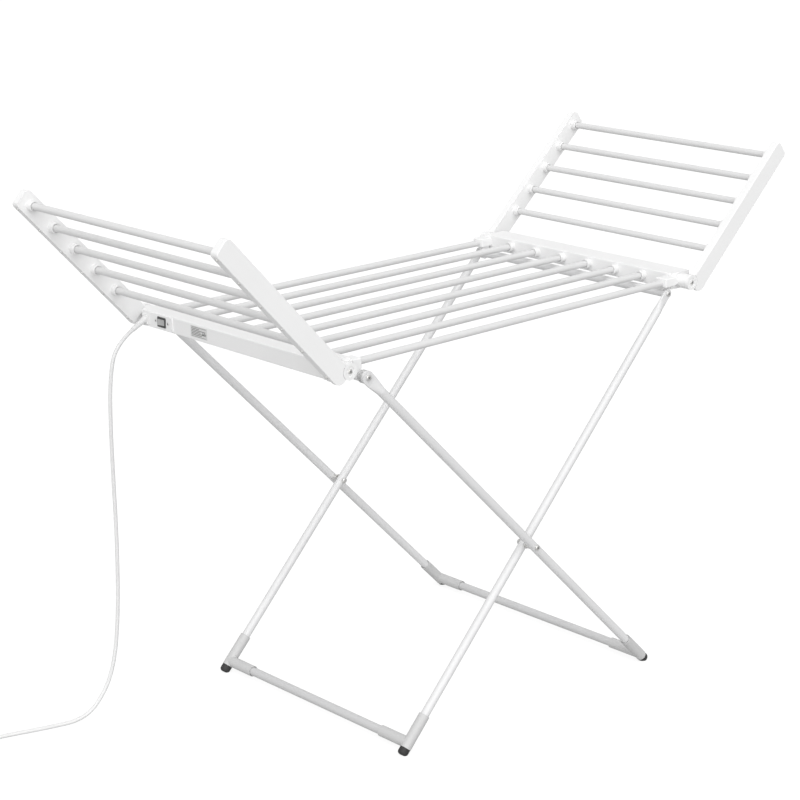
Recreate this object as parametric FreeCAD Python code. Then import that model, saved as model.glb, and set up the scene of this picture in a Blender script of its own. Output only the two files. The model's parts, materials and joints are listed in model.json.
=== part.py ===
"""Heated winged clothes airer: a deck of bars on folding X legs, with a hinged wing at each end.

Every piece is built around the middle of the deck, with X along the rack, Y across it and Z up
from the floor. At the end the whole rack is moved in X, so that the middle of its box is at 0.
All sizes are in millimetres and degrees.
"""
import FreeCAD, Part
import math
import os

V = FreeCAD.Vector

# ---- Overall ----
RACK_WIDTH = 532.0          # over the outer faces of the wing rails
HINGE_REACH = 402.0         # from the middle of the deck to a wing's hinge axis
HINGE_HEIGHT = 684.0        # from the floor to the hinge axes
WING_LENGTH = 332.0         # from the hinge axis to the tip of a rail
WING_ANGLE_LEFT = 47.4      # how far each wing stands up from level
WING_ANGLE_RIGHT = 42.6

# ---- Bars ----
BAR_OD = 12.0
BAR_WALL = 1.0
BAR_CLEARANCE = 0.1         # all round, where a bar sits in a hole
DECK_BARS = 8
DECK_BAR_INSET = 31.5       # from a rail's outer face to the middle of the outermost bar
DECK_BAR_RISE = 2.0         # bar axes above the hinge axes
WING_BARS = 5
WING_BAR_FIRST = 84.5       # from the hinge axis to the nearest bar
WING_BAR_LAST = 23.5        # from the tip of a rail to the furthest bar
HEATER_OD = 3.0
COLLAR_WALL = 2.9
COLLAR_LENGTH = 11.0
COLLAR_MOUTH = (1.0, 1.6)   # width and depth of the step round the bar at a collar's end

# ---- End beams ----
BEAM_WIDTH = 48.0
BEAM_ABOVE = 13.0           # above the bar axes
BEAM_BELOW = 15.0           # below the bar axes
BEAM_WALL = 2.0
BEAM_OFFSET = 2.0           # middle of the beam outboard of the hinge axis
LID_THICKNESS = 3.0
BAR_IN_BEAM = 20.0          # how far an inner bar runs into its beam
BEAM_EDGE = 2.0             # rounding along the long edges

# ---- Corner mouldings ----
FLANGE_INSET = 35.0         # from a rail's outer face to the inner face of the flange
FLANGE_THICKNESS = 5.5
FLANGE_LIP = 1.5            # how far the flange stands out round the beam, apart from its outboard side
FLANGE_CORNER = 4.0
PLUG_DEPTH = 10.0
PLUG_CLEARANCE = 0.2
BARREL_RADIUS = 13.2
BARREL_GROOVE = (2.0, 2.5)  # width and depth of the groove beside the flange
ARM_WIDTH = 25.0            # across the outermost bar
ARM_LENGTH_LEFT = 18.0      # inboard of the beam
ARM_LENGTH_RIGHT = 27.0
ARM_COVER = 2.8             # above the bar's skin
ARM_FLOOR = 1.5             # below the bar's skin on the right, over the inner frame's eyes
ARM_EDGE = 2.2
SOCKET_STOP = 5.0           # solid left between the socket's end and the beam
LUG_RADIUS = 9.0
CLAW_WALL = 3.5
CLAW_WIDTH = 11.0
CLAW_CLEARANCE = 0.3
CLAW_SIDE_GAP = 1.5         # between a claw and the inner frame's eye

# ---- Wing rails ----
RAIL_WIDTH = 15.4
RAIL_DEPTH = 34.0
RAIL_DROP = 14.8            # middle of the rail below the hinge axis, square to the wing
RAIL_WALL = 2.0
RAIL_COVER = 2.0
RAIL_TIP_RADIUS = 9.0
RAIL_HEEL = 2.0             # how far the rail's lower corner runs past the hinge axis
HEEL_RADIUS = 14.0
EAR_THICKNESS = 7.0
EAR_RADIUS = 13.6
EAR_RECESS_RADIUS = 8.5
EAR_RECESS_DEPTH = 1.3
EAR_GROOVE = (1.2, 1.6)     # width and depth of the groove between the ear and the rail
HINGE_GAP = 0.5
RAIL_START_GAP = 1.3        # between the barrel and the rail's body
HINGE_SCREW_RADIUS = 2.0
HINGE_HEAD_RADIUS = 4.0
RAIL_SCREW_RADIUS = 1.3
RUNNING_CLEARANCE = 0.05    # all round, on a pin that turns in its hole

# ---- Legs ----
LEG_OD = 15.0
LEG_WALL = 1.2
LEG_OUTER_INSET = 4.9       # from a rail's outer face to the middle of the outer legs' tops
LEG_TOP_GAP = 5.8           # between outer and inner legs, at their tops
LEG_OUTER_SPLAY = 3.6       # how much further out the outer legs' feet are
LEG_INNER_SPLAY = -3.2      # the inner legs' feet come in instead
LEG_PIVOT_INSET = 38.0      # leg tops inboard of the hinge axes
LEG_PIVOT_DROP = 18.0       # and below them
FOOT_REACH = 269.0          # from the middle of the deck to a bottom tube
BOTTOM_TUBE_HEIGHT = 16.5
EYE_THICKNESS = 4.0
EYE_OVER_OUTER = 3.3        # how much wider than its tube a flattened end is
EYE_OVER_INNER = 1.3
EYE_FLAT = 12.0             # length of the flattened end, from the eye's middle
EYE_BLEND = 26.0            # length over which the flat end becomes round
BOLT_RADIUS = 3.0
BOLT_HEAD_RADIUS = 4.8
BOLT_HEAD_HEIGHT = 3.0
NUT_RADIUS = 5.0
NUT_GAP = 0.3               # between a pivot's nut and the arm above it
WASHER_RADIUS = 7.6
WASHER_THICKNESS = 1.0
BUSH_NECK_RADIUS = 7.0      # beside the lug
BUSH_NECK_LENGTH = 3.0
BUSH_GROOVE = (1.2, 1.3)    # width and depth of the grooves round it
SIDE_GAP = 0.3              # between pieces that turn against each other

# ---- Elbows and feet ----
SLEEVE_WALL = 1.7
SLEEVE_CLEARANCE = 0.3
LEG_SLEEVE = 52.0           # from the corner up the leg
CROSS_SLEEVE = 66.0         # from the corner along the bottom tube
SLEEVE_SEAT = 12.0          # from the corner to a tube's end
MOUTH_GAP = 1.0
MOUTH_DEPTH = 2.0
TOE_PAST_KNEE = 0.3
FOOT_LENGTH = 12.5
FOOT_INSET = 0.5            # smaller in radius than the elbow
FOOT_EDGE = 5.0

# ---- Controls ----
PANEL_LENGTH = 80.0
PANEL_FLANGE_GAP = 1.0
PANEL_THICKNESS = 2.5
PANEL_MARGIN = 1.6          # below the beam's top and above its bottom
SWITCH_INSET = 52.5         # from the panel's outer end to the middle of the switch
SWITCH_LENGTH = 22.0
SWITCH_HEIGHT = 17.0
BEZEL_RIM = 2.0
BEZEL_PROUD = 1.2
ROCKER_TILT = 9.0           # either side of level
ROCKER_THROW_GAP = 0.5
PANEL_SCREW_SPAN = 34.0
LABEL_GAP = 48.5            # from the panel's inner end to the label
LABEL_LENGTH = 44.0
LABEL_HEIGHT = 19.0
LABEL_THICKNESS = 0.3

# ---- Mains cord ----
CORD_OD = 6.5
RELIEF_INSET = 9.0          # from the panel's outer end
RELIEF_BASE = (4.0, 13.0, 15.0)     # thickness, width and height of its square foot
RELIEF_LENGTH = 28.0
RELIEF_ROOT = 5.2                   # radius at its foot
RELIEF_DROOP = 28.8                 # degrees below level
COIL_CENTRE = (-812.0, 258.0)
COIL_INNER = 29.5
COIL_OUTER = 45.5
COIL_HEIGHT = 13.0
PLUG_LENGTH = 34.0
PLUG_WIDTH = 24.0
PLUG_HEIGHT = 14.0
PLUG_PIN_RADIUS = 2.0
PLUG_PIN_LENGTH = 19.0
PLUG_PIN_SPAN = 14.0

# The cord's free stretch, after the tip of the strain relief.
CORD_POINTS = [
    (-494.0, 221.0, 651.0),
    (-507.0, 222.0, 596.0),
    (-509.0, 223.5, 515.0),
    (-507.0, 225.5, 425.0),
    (-504.0, 228.0, 336.0),
    (-503.0, 231.0, 248.0),
    (-506.0, 233.0, 166.0),
    (-514.0, 235.0, 98.0),
    (-532.0, 238.0, 46.0),
    (-571.0, 244.0, 3.4),
    (-640.0, 263.0, 3.4),
    (-716.0, 292.0, 3.4),
    (-775.0, 299.5, 3.4),
    (-812.0, 299.6, 3.4),
]

# ---- Worked out ----
BAR_R = BAR_OD / 2
COLLAR_R = BAR_R + BAR_CLEARANCE + COLLAR_WALL
BAR_AXIS = HINGE_HEIGHT + DECK_BAR_RISE
BEAM_MID = HINGE_REACH + BEAM_OFFSET
BEAM_IN = BEAM_MID - BEAM_WIDTH / 2
BEAM_OUT = BEAM_MID + BEAM_WIDTH / 2
BEAM_TOP = BAR_AXIS + BEAM_ABOVE
BEAM_BOTTOM = BAR_AXIS - BEAM_BELOW
SOCKET_END = BEAM_IN - SOCKET_STOP
ARM_BOTTOM_LEFT = HINGE_HEIGHT - LEG_PIVOT_DROP + NUT_RADIUS + NUT_GAP
ARM_BOTTOM_RIGHT = BAR_AXIS - BAR_R - ARM_FLOOR
RAIL_OUT = RACK_WIDTH / 2
OUTER_BAR_Y = RAIL_OUT - DECK_BAR_INSET
DECK_BAR_PITCH = 2 * OUTER_BAR_Y / (DECK_BARS - 1)
ARM_INNER_Y = OUTER_BAR_Y - ARM_WIDTH / 2
ARM_OUTER_Y = OUTER_BAR_Y + ARM_WIDTH / 2
WING_BAR_PITCH = (WING_LENGTH - WING_BAR_FIRST - WING_BAR_LAST) / (WING_BARS - 1)
FLANGE_Y = RAIL_OUT - FLANGE_INSET
RAIL_START = BARREL_RADIUS + RAIL_START_GAP
RAIL_IN = RAIL_OUT - RAIL_WIDTH
EAR_IN = RAIL_OUT - EAR_THICKNESS
BARREL_END = EAR_IN - HINGE_GAP
PIVOT_X = HINGE_REACH - LEG_PIVOT_INSET
PIVOT_Z = HINGE_HEIGHT - LEG_PIVOT_DROP
LEG_R = LEG_OD / 2
LEG_OUTER_Y = RAIL_OUT - LEG_OUTER_INSET
LEG_INNER_Y = LEG_OUTER_Y - LEG_OD - LEG_TOP_GAP
SLEEVE_RADIUS = LEG_R + SLEEVE_CLEARANCE + SLEEVE_WALL
ELBOW_TOE = SLEEVE_RADIUS + TOE_PAST_KNEE     # from the corner down to the foot
LEG_RUN = PIVOT_X + FOOT_REACH
LEG_FALL = PIVOT_Z - BOTTOM_TUBE_HEIGHT
LEG_LENGTH = math.hypot(LEG_RUN, LEG_FALL)
LEG_SLOPE = math.degrees(math.atan2(LEG_FALL, LEG_RUN))
CROSSING_Z = PIVOT_Z - LEG_FALL * PIVOT_X / LEG_RUN
PANEL_FACE = BEAM_OUT + PANEL_THICKNESS
PANEL_END = FLANGE_Y - PANEL_FLANGE_GAP
SWITCH_Y = PANEL_END - SWITCH_INSET
RELIEF_Y = PANEL_END - RELIEF_INSET
LABEL_Y = PANEL_END - PANEL_LENGTH - LABEL_GAP - LABEL_LENGTH / 2
LUG_Y = (OUTER_BAR_Y, ARM_OUTER_Y)
BORE_RADIUS = BOLT_RADIUS + RUNNING_CLEARANCE


def box(x0, x1, y0, y1, z0, z1):
    """A box between two corners."""
    return Part.makeBox(x1 - x0, y1 - y0, z1 - z0, V(x0, y0, z0))


def rod(start, end, radius):
    """A round bar between two points."""
    run = V(*end) - V(*start)
    return Part.makeCylinder(radius, run.Length, V(*start), run)


def tube(start, end, radius, wall):
    return rod(start, end, radius).cut(rod(start, end, radius - wall))


def round_edges(shape, radius, chosen):
    """Fillets the edges for which chosen(edge) is true."""
    return shape.makeFillet(radius, [edge for edge in shape.Edges if chosen(edge)])


def runs_along(axis):
    """A test for straight edges along one axis."""
    def test(edge):
        run = edge.Vertexes[-1].Point - edge.Vertexes[0].Point
        return run.Length > 1 and abs(abs(run.dot(axis)) - run.Length) < 1e-6
    return test


def flip_x(shape):
    return shape.mirror(V(0, 0, 0), V(1, 0, 0))


def flip_y(shape):
    return shape.mirror(V(0, 0, 0), V(0, 1, 0))


def group(shapes):
    return Part.makeCompound(shapes)


def plate(outline, y0, y1):
    """A flat plate square to Y, from a closed wire in the XZ plane at y = 0."""
    return Part.Face(outline).extrude(V(0, y1 - y0, 0)).translated(V(0, y0, 0))


def pan_head(base, direction, radius, height):
    """A domed screw head standing on base."""
    head = Part.makeCylinder(radius, height, V(*base), V(*direction))
    crown = max(head.Edges, key=lambda e: (e.CenterOfMass - V(*base)).dot(V(*direction)))
    return head.makeFillet(height * 0.45, [crown])


parts = {}


# ---------------------------------------------------------------- end beams
def inner_bar_rows():
    return [(k - (DECK_BARS - 1) / 2) * DECK_BAR_PITCH for k in range(1, DECK_BARS - 1)]


def beam_tray():
    """The right beam's open channel, with a hole for each inner bar."""
    outer = box(BEAM_IN, BEAM_OUT, -FLANGE_Y, FLANGE_Y, BEAM_BOTTOM, BEAM_TOP - LID_THICKNESS)
    along = runs_along(V(0, 1, 0))
    outer = round_edges(outer, BEAM_EDGE,
                        lambda e: along(e) and e.CenterOfMass.z < BEAM_BOTTOM + 1)
    inside = box(BEAM_IN + BEAM_WALL, BEAM_OUT - BEAM_WALL, -FLANGE_Y, FLANGE_Y,
                 BEAM_BOTTOM + BEAM_WALL, BEAM_TOP)
    holes = [rod((BEAM_IN - 1, y, BAR_AXIS), (BEAM_IN + BEAM_WALL + 1, y, BAR_AXIS),
                 BAR_R + BAR_CLEARANCE) for y in inner_bar_rows()]
    return outer.cut([inside] + holes)


def beam_lid():
    """The right beam's flat top, with a lip that drops inside the channel."""
    top = box(BEAM_IN, BEAM_OUT, -FLANGE_Y, FLANGE_Y, BEAM_TOP - LID_THICKNESS, BEAM_TOP)
    along = runs_along(V(0, 1, 0))
    top = round_edges(top, BEAM_EDGE, lambda e: along(e) and e.CenterOfMass.z > BEAM_TOP - 1)
    gap = BEAM_WALL + PLUG_CLEARANCE
    lip_end = FLANGE_Y - PLUG_DEPTH - 1
    lips = [box(x0, x0 + BEAM_WALL, -lip_end, lip_end, BEAM_TOP - LID_THICKNESS - 2,
                BEAM_TOP - LID_THICKNESS) for x0 in (BEAM_IN + gap, BEAM_OUT - gap - BEAM_WALL)]
    return top.fuse(lips).removeSplitter()


def switch_cutout():
    """The hole for the switch body, through the left panel and the wall behind it."""
    half = SWITCH_LENGTH / 2 - BEZEL_RIM + 0.2
    tall = SWITCH_HEIGHT / 2 - BEZEL_RIM + 0.2
    return box(-PANEL_FACE - 1, -BEAM_OUT + BEAM_WALL + 1, SWITCH_Y - half, SWITCH_Y + half,
               BAR_AXIS - tall, BAR_AXIS + tall)


def make_beams():
    parts["beam_right_tray"] = beam_tray()
    parts["beam_right_lid"] = beam_lid()
    lead_hole = rod((-BEAM_OUT - 1, RELIEF_Y, HINGE_HEIGHT), (-BEAM_OUT + BEAM_WALL + 1, RELIEF_Y,
                    HINGE_HEIGHT), CORD_OD / 2 + 0.3)
    parts["beam_left_tray"] = flip_x(beam_tray()).cut([switch_cutout(), lead_hole])
    parts["beam_left_lid"] = flip_x(beam_lid())


# ---------------------------------------------------------------- corner mouldings
def corner_body(arm_bottom, arm_length):
    """The far right corner without its leg fitting: beam plug, flange, hinge barrel and bar arm."""
    arm_end = BEAM_IN - arm_length
    inside = BEAM_WALL + PLUG_CLEARANCE
    plug = box(BEAM_IN + inside, BEAM_OUT - inside, FLANGE_Y - PLUG_DEPTH, FLANGE_Y,
               BEAM_BOTTOM + inside, BEAM_TOP - LID_THICKNESS - PLUG_CLEARANCE)
    flange = box(BEAM_IN - FLANGE_LIP, BEAM_OUT, FLANGE_Y, FLANGE_Y + FLANGE_THICKNESS,
                 BEAM_BOTTOM - FLANGE_LIP, BEAM_TOP)
    flange = round_edges(flange, FLANGE_CORNER, runs_along(V(0, 1, 0)))
    barrel = rod((HINGE_REACH, FLANGE_Y, HINGE_HEIGHT), (HINGE_REACH, BARREL_END, HINGE_HEIGHT),
                 BARREL_RADIUS)
    wide, deep = BARREL_GROOVE
    beside = FLANGE_Y + FLANGE_THICKNESS
    barrel = barrel.cut(tube((HINGE_REACH, beside, HINGE_HEIGHT), (HINGE_REACH, beside + wide,
                        HINGE_HEIGHT), BARREL_RADIUS + 1, deep + 1))
    high = BAR_AXIS + BAR_R + ARM_COVER
    arm = box(arm_end, BEAM_IN - PLUG_CLEARANCE, ARM_INNER_Y, ARM_OUTER_Y, arm_bottom,
              high)
    arm = round_edges(arm, ARM_EDGE, lambda e: runs_along(V(1, 0, 0))(e)
                      or e.CenterOfMass.x < arm_end + 0.1)
    web = box(BEAM_IN - 4, HINGE_REACH - BARREL_RADIUS + 2, FLANGE_Y + 1, ARM_OUTER_Y - 3,
              BAR_AXIS - BAR_R, high - 2)
    body = plug.fuse([flange, barrel, arm, web])
    socket = rod((arm_end - 1, OUTER_BAR_Y, BAR_AXIS), (SOCKET_END, OUTER_BAR_Y, BAR_AXIS),
                 BAR_R + BAR_CLEARANCE)
    pilot = rod((HINGE_REACH, BARREL_END - 14, HINGE_HEIGHT),
                (HINGE_REACH, BARREL_END + 1, HINGE_HEIGHT), HINGE_SCREW_RADIUS + RUNNING_CLEARANCE)
    lead_way = rod((HINGE_REACH, FLANGE_Y - PLUG_DEPTH - 1, HINGE_HEIGHT),
                   (HINGE_REACH, BARREL_END - 16, HINGE_HEIGHT), HEATER_OD + 1)
    return body, [socket, pilot, lead_way]


def lug():
    """The plate below a left arm that carries the outer frame's pivot, drawn on the right."""
    y0, y1 = LUG_Y
    post = box(BEAM_IN - ARM_LENGTH_LEFT, PIVOT_X + LUG_RADIUS, y0, y1, PIVOT_Z,
               ARM_BOTTOM_LEFT + 3)
    eye = rod((PIVOT_X, y0, PIVOT_Z), (PIVOT_X, y1, PIVOT_Z), LUG_RADIUS)
    bore = rod((PIVOT_X, y0 - 1, PIVOT_Z), (PIVOT_X, y1 + 1, PIVOT_Z), BORE_RADIUS)
    return post.fuse(eye), bore


def claw():
    """The hook below a right arm that holds the inner frame's top tube, open towards the deck."""
    y1 = LEG_INNER_Y - EYE_THICKNESS / 2 - CLAW_SIDE_GAP
    y0 = y1 - CLAW_WIDTH
    seat = LEG_R + CLAW_CLEARANCE
    ring = rod((PIVOT_X, y0, PIVOT_Z), (PIVOT_X, y1, PIVOT_Z), seat + CLAW_WALL)
    neck = box(PIVOT_X - 4, PIVOT_X + seat + CLAW_WALL, y0, y1, PIVOT_Z + seat - 1,
               ARM_BOTTOM_RIGHT + 1)
    mouth = box(PIVOT_X - 3 * seat, PIVOT_X, y0 - 1, y1 + 1, PIVOT_Z - 3 * seat, PIVOT_Z + seat)
    hollow = rod((PIVOT_X, y0 - 1, PIVOT_Z), (PIVOT_X, y1 + 1, PIVOT_Z), seat)
    return ring.fuse(neck), [mouth, hollow]


def make_corners():
    body, holes = corner_body(ARM_BOTTOM_RIGHT, ARM_LENGTH_RIGHT)
    claw_shape, claw_cuts = claw()
    right = body.fuse(claw_shape.cut(claw_cuts)).cut(holes).removeSplitter()
    body, holes = corner_body(ARM_BOTTOM_LEFT, ARM_LENGTH_LEFT)
    lug_shape, lug_bore = lug()
    left = flip_x(body.fuse(lug_shape).cut(holes + [lug_bore]).removeSplitter())
    parts["corner_right_far"] = right
    parts["corner_right_near"] = flip_y(right)
    parts["corner_left_far"] = left
    parts["corner_left_near"] = flip_y(left)


# ---------------------------------------------------------------- deck bars
def collar(root, rim, step):
    """A ring round a bar from root to rim, its bore wider between step and rim."""
    ring = rod(root, rim, COLLAR_R)
    at = V(*rim)
    ring = round_edges(ring, 0.8, lambda e: len(e.Vertexes) == 1 and (e.CenterOfMass - at).Length < 0.1)
    out = at + (at - V(*root)).normalize()
    back = V(*root) - (at - V(*root)).normalize()
    bore = BAR_R + BAR_CLEARANCE
    return ring.cut([rod(tuple(back), tuple(out), bore), rod(step, tuple(out), bore + COLLAR_MOUTH[0])])


def make_deck_bars():
    collars = []
    wires = []
    for k in range(DECK_BARS):
        y = (k - (DECK_BARS - 1) / 2) * DECK_BAR_PITCH
        outermost = k in (0, DECK_BARS - 1)
        end = SOCKET_END - 1 if outermost else BEAM_IN + BAR_IN_BEAM
        parts["deck_bar_%d" % (k + 1)] = tube((-end, y, BAR_AXIS), (end, y, BAR_AXIS), BAR_R, BAR_WALL)
        wires.append(rod((-end + 3, y, BAR_AXIS), (end - 3, y, BAR_AXIS), HEATER_OD / 2))
        if outermost:
            continue
        for side in (-1, 1):
            rim = side * (BEAM_IN - COLLAR_LENGTH)
            step = rim + side * COLLAR_MOUTH[1]
            collars.append(collar((side * BEAM_IN, y, BAR_AXIS), (rim, y, BAR_AXIS),
                                  (step, y, BAR_AXIS)))
    parts["deck_bar_collars"] = group(collars)
    parts["deck_heater_wires"] = group(wires)


# ---------------------------------------------------------------- wings
def rail_outline(inset, start):
    """A rail seen from the side, from start out to the tip, with inset taken off all round."""
    top = -RAIL_DROP + RAIL_DEPTH / 2 - inset
    bottom = -RAIL_DROP - RAIL_DEPTH / 2 + inset
    tip = WING_LENGTH - inset
    r = RAIL_TIP_RADIUS - inset / 2
    slant = 5.0
    a, b = V(start, 0, bottom), V(tip - slant - r / 2, 0, bottom)
    c, d = V(tip - slant + r / 3, 0, bottom + r / 2), V(tip, 0, top - r)
    e, f = V(tip - r, 0, top), V(start, 0, top)
    lower_mid = V(tip - slant - r / 60, 0, bottom + r / 8)
    upper_mid = V(tip - r * (1 - math.sqrt(0.5)), 0, top - r * (1 - math.sqrt(0.5)))
    edges = [Part.makeLine(a, b), Part.Arc(b, lower_mid, c).toShape(), Part.makeLine(c, d),
             Part.Arc(d, upper_mid, e).toShape(), Part.makeLine(e, f), Part.makeLine(f, a)]
    return Part.Wire(edges)


def ear_outline():
    """The thin plate at the rail's foot: round about the hinge, with a heel at the lower corner."""
    top = -RAIL_DROP + RAIL_DEPTH / 2
    bottom = -RAIL_DROP - RAIL_DEPTH / 2
    far = RAIL_START + 8
    r = HEEL_RADIUS
    a, b = V(far, 0, bottom), V(-RAIL_HEEL + r, 0, bottom)
    corner = V(-RAIL_HEEL + r * (1 - math.sqrt(0.5)), 0, bottom + r * (1 - math.sqrt(0.5)))
    c = V(-RAIL_HEEL, 0, bottom + r)
    d = V(-RAIL_HEEL, 0, 0)
    edges = [Part.makeLine(a, b), Part.Arc(b, corner, c).toShape(), Part.makeLine(c, d),
             Part.makeLine(d, V(0, 0, top)), Part.makeLine(V(0, 0, top), V(far, 0, top)),
             Part.makeLine(V(far, 0, top), a)]
    return Part.Wire(edges)


def wing_bar_stations():
    return [WING_BAR_FIRST + k * WING_BAR_PITCH for k in range(WING_BARS)]


def wing_pieces():
    """The right wing's pieces, lying level with the hinge axis at the origin."""
    bar_z = -RAIL_DROP
    start = RAIL_START
    cover_face = RAIL_IN + RAIL_COVER
    channel = plate(rail_outline(0, start), cover_face, RAIL_OUT)
    along_tip = lambda e: (abs(e.CenterOfMass.y - RAIL_OUT) < 0.01 and e.CenterOfMass.x > start + 1)
    channel = round_edges(channel, 1.5, along_tip)
    hollow = plate(rail_outline(RAIL_WALL, start + RAIL_WALL), cover_face - 1, RAIL_OUT - RAIL_WALL)
    ear = plate(ear_outline(), EAR_IN, RAIL_OUT)
    ear_round = rod((0, EAR_IN, 0), (0, RAIL_OUT, 0), EAR_RADIUS)
    recess = rod((0, RAIL_OUT - EAR_RECESS_DEPTH, 0), (0, RAIL_OUT + 1, 0), EAR_RECESS_RADIUS)
    bore = rod((0, EAR_IN - 1, 0), (0, RAIL_OUT + 1, 0), HINGE_SCREW_RADIUS + RUNNING_CLEARANCE)
    wide, deep = EAR_GROOVE
    groove = tube((0, RAIL_OUT - deep, 0), (0, RAIL_OUT + 1, 0), EAR_RADIUS + wide, wide)
    rail = channel.fuse([ear, ear_round]).cut([hollow, recess, bore, groove]).removeSplitter()

    cover = plate(rail_outline(0, start), RAIL_IN, cover_face)
    holes = [rod((s, RAIL_IN - 1, bar_z), (s, cover_face + 1, bar_z), BAR_R + BAR_CLEARANCE)
             for s in wing_bar_stations()]
    cover = cover.cut(holes)

    bar_end = RAIL_OUT - RAIL_WALL - 2
    bars, wires, collars = [], [], []
    for s in wing_bar_stations():
        bars.append(tube((s, -bar_end, bar_z), (s, bar_end, bar_z), BAR_R, BAR_WALL))
        wires.append(rod((s, -bar_end + 2, bar_z), (s, bar_end - 2, bar_z), HEATER_OD / 2))
        rim = RAIL_IN - COLLAR_LENGTH
        ring = collar((s, RAIL_IN, bar_z), (s, rim, bar_z), (s, rim + COLLAR_MOUTH[1], bar_z))
        collars += [ring, flip_y(ring)]

    screws = []
    under = bar_z - RAIL_DEPTH / 2
    middle = RAIL_OUT - RAIL_WIDTH / 2
    for s in [station + 10 for station in wing_bar_stations()] + [start + 12]:
        head = pan_head((s, middle, under), (0, 0, -1), 3.0, 1.4)
        shank = rod((s, middle, under), (s, middle, under + 9), RAIL_SCREW_RADIUS)
        screws.append(head.fuse(shank))
    bores = [rod((s.BoundBox.Center.x, middle, under - 1), (s.BoundBox.Center.x, middle, under + 10),
                 RAIL_SCREW_RADIUS + RUNNING_CLEARANCE) for s in screws]
    rail = rail.cut(bores)
    seat = RAIL_OUT - EAR_RECESS_DEPTH
    hinge_head = pan_head((0, seat, 0), (0, 1, 0), HINGE_HEAD_RADIUS, 2.2)
    hinge_shank = rod((0, BARREL_END - 13, 0), (0, seat, 0), HINGE_SCREW_RADIUS)
    screws.append(hinge_head.fuse(hinge_shank))
    return {"rail_far": rail, "rail_near": flip_y(rail), "rail_cover_far": cover,
            "rail_cover_near": flip_y(cover), "bars": group(bars), "heater_wires": group(wires),
            "collars": group(collars), "screws": group(screws + [flip_y(s) for s in screws])}


def make_wings():
    names = {"rail_far": "wing_%s_rail_far", "rail_near": "wing_%s_rail_near",
             "rail_cover_far": "wing_%s_rail_cover_far", "rail_cover_near": "wing_%s_rail_cover_near",
             "bars": "wing_%s_bars", "heater_wires": "wing_%s_heater_wires",
             "collars": "wing_%s_collars", "screws": "wing_%s_screws"}
    for side, angle in (("left", WING_ANGLE_LEFT), ("right", WING_ANGLE_RIGHT)):
        for key, shape in wing_pieces().items():
            raised = shape.copy()
            raised.rotate(V(0, 0, 0), V(0, 1, 0), -angle)
            raised.translate(V(HINGE_REACH, 0, HINGE_HEIGHT))
            parts[names[key] % side] = flip_x(raised) if side == "left" else raised


# ---------------------------------------------------------------- leg frames
def to_leg(shape, y):
    """Places a shape drawn with the leg's top at the origin and the leg along +X, as the outer frame."""
    placed = shape.copy()
    placed.rotate(V(0, 0, 0), V(0, 1, 0), LEG_SLOPE)
    placed.translate(V(-PIVOT_X, y, PIVOT_Z))
    return placed


CROSSING = LEG_LENGTH * PIVOT_X / LEG_RUN     # along a leg, from its top


def ring_of(corners, tops):
    """A closed wire of four edges through four corners, each edge passing through its own top."""
    edges = []
    for k in range(4):
        a, b = corners[k], corners[(k + 1) % 4]
        bend = (tops[k] - a).cross(b - a).Length
        edges.append(Part.makeLine(a, b) if bend < 1e-9 else Part.Arc(a, tops[k], b).toShape())
    return Part.Wire(edges)


def leg_tube(eye_radius, crossing_bore, splay):
    """One leg along +X: a flattened eye at the origin, then a round tube down to the elbow.

    The tube drifts by splay in Y over its whole length.
    """
    half, side = EYE_THICKNESS / 2, eye_radius - EYE_THICKNESS / 2
    flat = ring_of([V(EYE_FLAT, half, -side), V(EYE_FLAT, half, side), V(EYE_FLAT, -half, side),
                    V(EYE_FLAT, -half, -side)],
                   [V(EYE_FLAT, half, 0), V(EYE_FLAT, 0, eye_radius), V(EYE_FLAT, -half, 0),
                    V(EYE_FLAT, 0, -eye_radius)])
    near, far = LEG_R * math.cos(math.radians(60)), LEG_R * math.sin(math.radians(60))
    full = ring_of([V(0, near, -far), V(0, near, far), V(0, -near, far), V(0, -near, -far)],
                   [V(0, LEG_R, 0), V(0, 0, LEG_R), V(0, -LEG_R, 0), V(0, 0, -LEG_R)])
    drift = splay / LEG_LENGTH
    full.rotate(V(0, 0, 0), V(0, 0, 1), math.degrees(math.atan(drift)))
    round_from = EYE_FLAT + EYE_BLEND
    full.translate(V(round_from, drift * round_from, 0))
    blend = Part.makeLoft([flat, full], True, True)
    disc = rod((0, -half, 0), (0, half, 0), eye_radius)
    tongue = Part.Face(flat).extrude(V(-EYE_FLAT, 0, 0))
    end = LEG_LENGTH - SLEEVE_SEAT
    shaft = rod((round_from, drift * round_from, 0), (end, drift * end, 0), LEG_R)
    hollow = round_from + 2
    inside = rod((hollow, drift * hollow, 0), (end + 1, drift * (end + 1), 0), LEG_R - LEG_WALL)
    eye_bore = rod((0, -EYE_THICKNESS, 0), (0, EYE_THICKNESS, 0), BOLT_RADIUS + BAR_CLEARANCE)
    cross_bore = rod((CROSSING, -LEG_OD, 0), (CROSSING, LEG_OD, 0), crossing_bore)
    return disc.fuse([tongue, blend, shaft]).cut([inside, eye_bore, cross_bore]).removeSplitter()


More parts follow.
